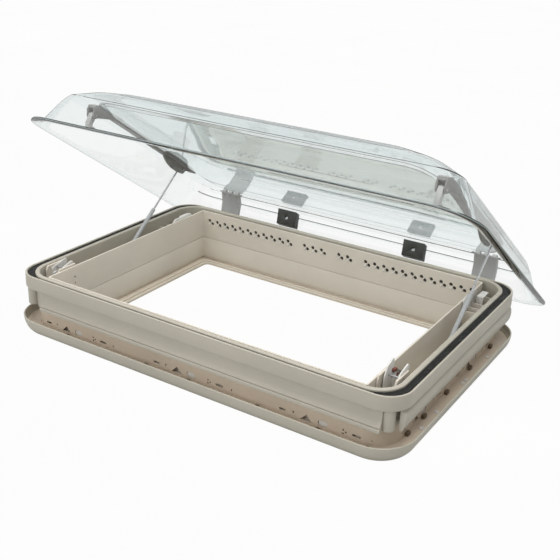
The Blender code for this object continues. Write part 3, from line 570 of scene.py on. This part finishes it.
def make_plate(name, outside, inside, low, high, tools=()):
    """Flat plate with one big hole, and small ones cut by the tools."""
    mesh_data = bmesh.new()
    prism(mesh_data, outside, "Z", low, high)
    plate = make(name, mesh_data)
    mesh_data = bmesh.new()
    prism(mesh_data, inside, "Z", low - 0.01, high + 0.01)
    carve(plate, [make(name + "_hole", mesh_data)] + list(tools))
    return plate


# Ceiling frame --------------------------------------------------------------
def build_ceiling_ring():
    """Curved outer wall of the tray under the roof, with a thin light lip."""
    outer = [(0.0, CEILING_TOP), (0.0008, -0.090), (0.0045, -0.101), (0.011, -0.109), (0.020, -0.1134),
             (0.030, CEILING_BOTTOM + 0.0010)]
    inner = [(0.030, -0.1122), (0.0205, -0.1110), (0.0126, -0.1065), (0.0070, -0.0995), (0.0034, -0.0895),
             (0.0026, CEILING_TOP)]
    reach = [0.0009] + [0.004] * 4 + [0.0, 0.0] + [0.003] * 4 + [0.0009]
    mesh_data = bmesh.new()
    ring(mesh_data, eased(outer + inner, reach, steps=4), CEILING_X, CEILING_Y, CEILING_R, steps=20)
    dress(make("ceiling_wall", mesh_data), "ceiling_frame", BEIGE, 0.0)


def build_tray():
    floor = make_plate("tray_floor", outline(CEILING_X - 0.025, CEILING_Y - 0.025, CEILING_R - 0.025),
                       outline(OPENING_X, OPENING_Y, 0.010, steps=4), CEILING_BOTTOM, -0.1119)
    dress(floor, "ceiling_frame", BEIGE_TRAY, 0.0)

    mesh_data = bmesh.new()
    bead = eased([(0.0, -0.1135), (0.0, -0.1095), (0.0029, -0.1095), (0.0029, -0.1135)], 0.0008)
    ring(mesh_data, bead, OPENING_X + 0.003, OPENING_Y + 0.003, 0.013, steps=6)
    groove = eased([(0.0, -0.1135), (0.0, -0.1085), (0.0024, -0.1085), (0.0024, -0.1135)], 0.0007)
    ring(mesh_data, groove, OPENING_X + 0.0105, OPENING_Y + 0.0085, 0.016, steps=6)
    dress(make("opening_lip", mesh_data), "ceiling_frame", BEIGE_INSIDE)

    mesh_data = bmesh.new()
    wall = eased([(0.0, -0.1055), (0.0, -0.0618), (WALL, -0.0618), (WALL, -0.1055)], 0.0007)
    ring(mesh_data, wall, LINER_X + WALL, LINER_Y + WALL, 0.0045, steps=6)
    base = [(0.0, -0.1135), (0.0, -0.0985), (0.0035, -0.0985), (0.0035, -0.1135)]
    ring(mesh_data, eased(base, 0.0006), LINER_X + 0.006, LINER_Y + 0.006, 0.006, steps=6)
    dress(make("lower_liner_wall", mesh_data), "ceiling_frame", BEIGE_INSIDE)


def oval(u, v, half, radius, steps=8):
    """Link with round ends, as (along, across)."""
    points = []
    for end, start in ((1, -90), (-1, 90)):
        for step in range(steps + 1):
            angle = math.radians(start + 180 * step / steps)
            points.append((u + end * half + radius * math.cos(angle), v + radius * math.sin(angle)))
    return points


def hole_group(along):
    """Outlines of one group of holes in the tray's upright wall, as (along, height)."""
    holes = [oval(along, HOLES_Z, 0.0036, 0.0050)]
    for start, end in ((-0.0785, -0.0655), (0.050, 0.065)):
        holes.append(oval(along + (start + end) / 2, HOLES_Z, (end - start) / 2 - 0.0021, 0.0021))
    holes.append([(along - 0.040, HOLES_Z - 0.0055), (along - 0.018, HOLES_Z - 0.0055),
                  (along - 0.029, HOLES_Z + 0.0055)])
    for shift, lift in ((0.035, 0.0028), (0.035, -0.0030), (0.0395, 0.0), (0.0815, 0.0), (-0.052, 0.002)):
        holes.append(oval(along + shift, HOLES_Z + lift, 0.0, 0.0018))
    return holes


def build_tower():
    """Upright wall up to the roof's underside, pierced in groups, with pale plugs in the ovals."""
    mesh_data = bmesh.new()
    out = WALL / 2
    top = BAND_BOTTOM - 0.0006
    section = [(0.0, -0.1135), (0.0, top), (WALL, top), (WALL, -0.1135)]
    ring(mesh_data, section, TOWER_X + out, TOWER_Y + out, TOWER_R + out)
    tower = make("roof_tower", mesh_data)
    tools = bmesh.new()
    plugs = bmesh.new()
    for axis, middle, groups in (("Y", TOWER_Y, [HOLES_PITCH * i - 0.2434 for i in range(3)]),
                                 ("X", TOWER_X, [-0.110, 0.100])):
        for side in (-1, 1):
            low, high = side * middle - 0.004, side * middle + 0.004
            for along in groups:
                for hole in hole_group(along):
                    prism(tools, hole, axis, low, high)
                plug = oval(along, HOLES_Z, 0.0034, 0.0047)
                prism(plugs, plug, axis, side * (middle - 0.0028), side * (middle + 0.0004))
    carve(tower, [make("tower_holes", tools)])
    dress(tower, "ceiling_frame", BEIGE_TRAY)
    dress(make("oval_plugs", plugs), "ceiling_frame", WHITE, 0.0005)


def build_web():
    """Strip between the tray's wall and its upright wall, with pale pads, and dark brown blocks that paint the
    shade beside the upright wall.
    """
    mesh_data = bmesh.new()
    between(mesh_data, outline(CEILING_X - 0.0052, CEILING_Y - 0.0052, CEILING_R - 0.0052),
            outline(TOWER_X, TOWER_Y, TOWER_R),
            [(0.0, WEB_BOTTOM), (0.0, WEB_TOP), (1.0, WEB_TOP), (1.0, WEB_BOTTOM)])
    dress(make("tray_web", mesh_data), "ceiling_frame", BEIGE_TRAY)
    pale, dark = bmesh.new(), bmesh.new()
    for x_side in (-1, 1):
        for y in (-0.150, -0.093, 0.017, 0.030, 0.128):
            xs = sorted((x_side * 0.3735, x_side * 0.3800))
            block(pale, xs, (y, y + 0.0085), (WEB_TOP - 0.0005, WEB_TOP + 0.0016))
        # Dark blocks next to the upright wall: painted shade.
        for y in (-0.179, -0.120, -0.031, 0.069, 0.166):
            xs = sorted((x_side * 0.3645, x_side * 0.3700))
            block(dark, xs, (y, y + 0.0100), (WEB_TOP - 0.0005, WEB_TOP + 0.0060))
    for x in (-0.300, -0.120, -0.030, 0.105, 0.215, 0.300):
        block(pale, (x, x + 0.016), (-0.2500, -0.2440), (WEB_TOP - 0.0005, WEB_TOP + 0.0014))
        # Dark block next to the upright wall: painted shade.
        block(dark, (x + 0.031, x + 0.037), (-0.2445, -0.2390), (WEB_TOP - 0.0005, WEB_TOP + 0.0030))
    dress(make("web_pads", pale), "ceiling_frame", WHITE, 0.0006)
    dress(make("web_painted_shade_blocks", dark), "ceiling_frame", PAINTED_SHADE_BROWN, 0.0006)


# Lid ------------------------------------------------------------------------
def shell(name, sections, thickness, steps, place=LID_TO_ROW):
    """Surface through stacked rounded rectangles of (half x, half y, middle y, radius, height), thickened."""
    mesh_data = bmesh.new()
    loops = []
    for half_x, half_y, middle_y, radius, height in sections:
        loops.append([mesh_data.verts.new((x, y, height))
                      for x, y in outline(half_x, half_y, radius, middle_y, steps)])
    for lower, upper in zip(loops, loops[1:]):
        for i in range(len(lower)):
            j = (i + 1) % len(lower)
            mesh_data.faces.new((lower[i], lower[j], upper[j], upper[i]))
    mesh_data.faces.new(loops[-1])
    mesh_data.transform(place)
    mesh = bpy.data.meshes.new(name)
    mesh_data.to_mesh(mesh)
    mesh_data.free()
    piece = bpy.data.objects.new(name, mesh)
    bpy.context.scene.collection.objects.link(piece)
    solid = piece.modifiers.new("thickness", "SOLIDIFY")
    solid.thickness = thickness
    solid.offset = -1.0
    solid.use_even_offset = True
    bevel = piece.modifiers.new("edge", "BEVEL")
    bevel.width = 0.0006
    bevel.segments = 2
    bevel.limit_method = "ANGLE"
    bevel.angle_limit = math.radians(60)
    settle(piece, smooth_angle=50)
    return piece


def build_panes():
    """Outer pane: flange, sloping wall, tight shoulder and crowned top; inner pane: flat with a lip."""
    # height, then the inset at the sides, the front and the back
    points = [(0.003, 0.0010, 0.0010, 0.0010), (0.003, 0.0155, 0.0155, 0.0155),
              (0.0415, 0.0375, 0.0265, 0.0300), (0.0540, 0.0450, 0.0315, 0.0385),
              (0.0645, 0.0520, 0.0375, 0.0480), (0.0850, 0.0950, 0.0590, 0.0700),
              (0.0965, 0.1450, 0.0790, 0.0900), (0.1035, 0.1950, 0.1070, 0.1170),
              (0.1075, 0.2450, 0.1550, 0.1600), (0.1100, 0.3000, 0.2250, 0.2250),
              (0.1104, 0.3200, 0.2450, 0.2450)]
    reach = [0.0, 0.004, 0.012, 0.006, 0.002, 0.012, 0.012, 0.014, 0.02, 0.01, 0.0]
    sections = []
    for height, side, front, back in eased(points, reach, steps=4, closed=False):
        low, high = LID_FRONT + front, LID_BACK - back
        radius = min(max(LID_R - 0.75 * side, 0.034), 0.45 * (high - low), 0.8 * (LID_X - side))
        sections.append((LID_X - side, (high - low) / 2, (high + low) / 2, radius, FLANGE_Z + height))
    dress(shell("outer_pane", sections, 0.003, 16), "lid_outer_pane", ACRYLIC)
    mesh_data = bmesh.new()
    bead = [(0.0, FLANGE_Z), (0.0, FLANGE_Z + 0.0016), (0.0009, FLANGE_Z + 0.0016), (0.0009, FLANGE_Z)]
    ring(mesh_data, eased(bead, 0.0004), LID_X, (LID_BACK - LID_FRONT) / 2, LID_R,
         (LID_BACK + LID_FRONT) / 2, steps=20)
    dress(make("flange_edge", mesh_data, LID_TO_ROW), "lid_outer_pane", EDGE)

    middle, half_x, half_y = 0.01165, 0.3265, 0.23265
    points = [(0.0, INNER_TOP + 0.0020), (0.0012, INNER_TOP + 0.0008), (0.0045, INNER_TOP),
              (0.1100, INNER_TOP)]
    sections = []
    for inset, height in eased(points, [0.0, 0.001, 0.002, 0.0], steps=3, closed=False):
        radius = max(0.046 - inset, 0.030)
        sections.append((half_x - inset, half_y - inset, middle, radius, height))
    dress(shell("inner_pane", sections, 0.0022, 12), "lid_inner_pane", ACRYLIC)


# Small pieces ---------------------------------------------------------------
def finish_small_nodes():
    """The CAD's own small shapes with better materials; the catch's cheeks end below the levers."""
    plain = (("hinge_base", "grey_plastic", GREY), ("hinge_arm", "grey_plastic", GREY),
             ("rear_block", "black_rubber", DARK), ("side_bracket", "grey_plastic", BRACKET),
             ("latch_hook", "grey_plastic", GREY), ("rail_clip", "white_plastic", WHITE),
             ("stay_foot", "grey_plastic", GREY),
             ("stay_tube", "white_plastic", TUBE), ("stay_rod", "bright_steel", STEEL),
             ("hinge_pin", "bright_steel", STEEL), ("knuckle_pin", "bright_steel", STEEL),
             ("block_screw", "bright_steel", STEEL), ("latch_pin", "bright_steel", STEEL),
             ("stay_stud", "bright_steel", STEEL), ("striker_bar", "bright_steel", STEEL),
             ("stay_foot_pin", "bright_steel", STEEL))
    for kind, slot, material in plain:
        for side, _ in SIDES:
            refined(kind + "_" + side, material, 0.0003)
    for side, _ in SIDES:
        catch = refined("catch_block_" + side, BEIGE_INSIDE, 0.0)
        above = bmesh.new()
        block(above, (-0.5, 0.5), (-0.5, 0.5), (CATCH_TOP, 0.100))
        carve(catch, [make("above_catch_" + side, above)])
    for number in range(1, 7):
        refined("frame_screw_%d" % number, STEEL, 0.0003)


def helix(start, reach, radius, turns, steps=14):
    """Points of a coil along X."""
    count = turns * steps
    return [(start[0] + reach * i / count, start[1] + radius * math.cos(2 * math.pi * i / steps),
             start[2] + radius * math.sin(2 * math.pi * i / steps)) for i in range(count + 1)]


def build_channel_fittings():
    """Catch levers, coil springs and red dots at the front of each channel, ribs and a clip at the back."""
    for name, x_side in SIDES:
        node = "catch_block_" + name
        lever = bmesh.new()
        size = 1.0 if x_side > 0 else 0.4            # the left levers stand lower
        for out, rear, rise in ((0.3262, -0.162, 0.018 * size), (0.3478, -0.156, 0.012 * size)):
            xs = sorted((x_side * out, x_side * (out + 0.0024)))
            tip = [(-0.192, -0.030), (rear, -0.030), (rear + 0.004, 0.004), (rear, rise),
                   (-0.182, rise - 0.006), (-0.190, -0.004)]
            prism(lever, eased(tip, 0.003), "X", *xs)
        block(lever, sorted((x_side * 0.3262, x_side * 0.3315)), (-0.166, -0.154), (-0.050, -0.006))
        block(lever, sorted((x_side * 0.3455, x_side * 0.3502)), (-0.190, -0.160), (-0.050, -0.012))
        dress(make("catch_lever_" + name, lever), node, WHITE, 0.0004)
        coil = bmesh.new()
        wire(coil, helix((x_side * 0.3300, -0.148, -0.012), x_side * 0.016, 0.0034, 6), 0.0006, sides=8)
        dress(make("catch_spring_" + name, coil), node, DARK_STEEL)
        red = bmesh.new()
        for y, z in ((-0.1570, -0.004), (-0.1520, -0.014), (-0.1640, -0.002)):
            rod(red, (x_side * 0.3255, y, z), (x_side * 0.3325, y, z), 0.0030, sides=20)
        dress(make("catch_rivets_" + name, red), node, RED, 0.0004)
        ribs = bmesh.new()
        for y in (0.128, 0.148, 0.168, 0.206):
            block(ribs, sorted((x_side * 0.3205, x_side * 0.3572)), (y, y + 0.0018), (CHANNEL_FLOOR, -0.018))
        dress(make("channel_ribs_" + name, ribs), "inner_liner", BEIGE_INSIDE, 0.0004)
        clip = bmesh.new()
        hook = eased([(0.172, -0.020), (0.172, -0.0045), (0.200, -0.0045), (0.200, -0.0075), (0.177, -0.0075),
                      (0.177, -0.020)], 0.0012)
        prism(clip, hook, "X", *sorted((x_side * 0.3300, x_side * 0.3420)))
        dress(make("pocket_clip_" + name, clip), "inner_liner", WHITE, 0.0004)


# Stage ----------------------------------------------------------------------
def build_stage():
    bpy.ops.mesh.primitive_plane_add(size=60.0, location=(0.0, 0.0, -0.0005))
    floor = bpy.context.object
    floor.name = "floor"
    graph = Graph("pale_floor")
    tone = graph.spread(graph.noise(3.0), 0.0, 1.0)
    graph.feed(graph.shader.inputs["Base Color"],
               graph.mix(tone, (0.50, 0.50, 0.49, 1.0), (0.54, 0.54, 0.53, 1.0)))
    graph.shader.inputs["Roughness"].default_value = 0.9
    graph.shader.inputs["Specular IOR Level"].default_value = 0.1
    pale = graph.mix(tone, (0.97, 0.975, 0.97, 1.0), (0.985, 0.985, 0.98, 1.0))
    glow = graph.add("ShaderNodeEmission", Color=pale)
    paths = graph.add("ShaderNodeLightPath")
    seen = graph.add("ShaderNodeMath", {"operation": "MAXIMUM"})
    graph.tree.links.new(paths.outputs["Is Camera Ray"], seen.inputs[0])
    graph.tree.links.new(paths.outputs["Is Transmission Ray"], seen.inputs[1])
    graph.swap(seen.outputs["Value"], glow.outputs["Emission"])
    floor.data.materials.append(graph.material)

    world = bpy.data.worlds.new("studio")
    world.use_nodes = True
    background = world.node_tree.nodes["Background"]
    where = world.node_tree.nodes.new("ShaderNodeTexCoord")
    parts = world.node_tree.nodes.new("ShaderNodeSeparateXYZ")
    rise = world.node_tree.nodes.new("ShaderNodeMapRange")
    for name, value in (("From Min", -0.1), ("From Max", 0.9), ("To Min", 0.30), ("To Max", 1.00)):
        rise.inputs[name].default_value = value
    world.node_tree.links.new(where.outputs["Generated"], parts.inputs["Vector"])
    world.node_tree.links.new(parts.outputs["Z"], rise.inputs["Value"])
    paths = world.node_tree.nodes.new("ShaderNodeLightPath")
    direct = world.node_tree.nodes.new("ShaderNodeMath")
    direct.operation = "MAXIMUM"
    strength = world.node_tree.nodes.new("ShaderNodeMath")
    strength.operation = "MAXIMUM"
    world.node_tree.links.new(paths.outputs["Is Camera Ray"], direct.inputs[0])
    world.node_tree.links.new(paths.outputs["Is Transmission Ray"], direct.inputs[1])
    world.node_tree.links.new(direct.outputs["Value"], strength.inputs[0])
    world.node_tree.links.new(rise.outputs["Result"], strength.inputs[1])
    world.node_tree.links.new(strength.outputs["Value"], background.inputs["Strength"])
    background.inputs["Color"].default_value = (0.975, 0.975, 0.975, 1.0)
    bpy.context.scene.world = world
    lamps = (("key", (-0.8, -2.8, 1.5), 1.4, 26.0), ("top", (0.4, -0.2, 3.0), 1.6, 62.0))
    for name, place, size, power in lamps:
        light = bpy.data.lights.new(name, "AREA")
        light.energy = power
        light.size = size
        lamp = bpy.data.objects.new(name, light)
        lamp.location = place
        lamp.rotation_euler = (Vector((0.0, 0.0, 0.15)) - Vector(place)).to_track_quat("-Z", "Y").to_euler()
        lamp.visible_glossy = False
        lamp.visible_transmission = False
        bpy.context.scene.collection.objects.link(lamp)
    bpy.context.scene.view_settings.view_transform = "Standard"


def build_camera():
    yaw, pitch, roll = math.radians(31.73), math.radians(23.69), math.radians(2.24)
    ahead = Vector((-math.sin(yaw) * math.cos(pitch), math.cos(yaw) * math.cos(pitch), -math.sin(pitch)))
    level = Vector((math.cos(yaw), math.sin(yaw), 0.0))
    up = level.cross(ahead)
    right = level * math.cos(roll) + up * math.sin(roll)
    above = up * math.cos(roll) - level * math.sin(roll)
    camera_data = bpy.data.cameras.new("camera")
    camera_data.lens = 58.2
    camera_data.sensor_width = 36.0
    camera = bpy.data.objects.new("camera", camera_data)
    turn = Matrix((right, above, -ahead)).transposed().to_4x4()
    camera.matrix_world = Matrix.Translation((0.8035, -1.2887, 0.7701)) @ turn
    bpy.context.scene.collection.objects.link(camera)
    bpy.context.scene.camera = camera


build_camera()
build_stage()
build_rim()
build_bands()
build_seal()
build_liner()
build_ceiling_ring()
build_tray()
build_tower()
build_web()
build_panes()
finish_small_nodes()
build_channel_fittings()
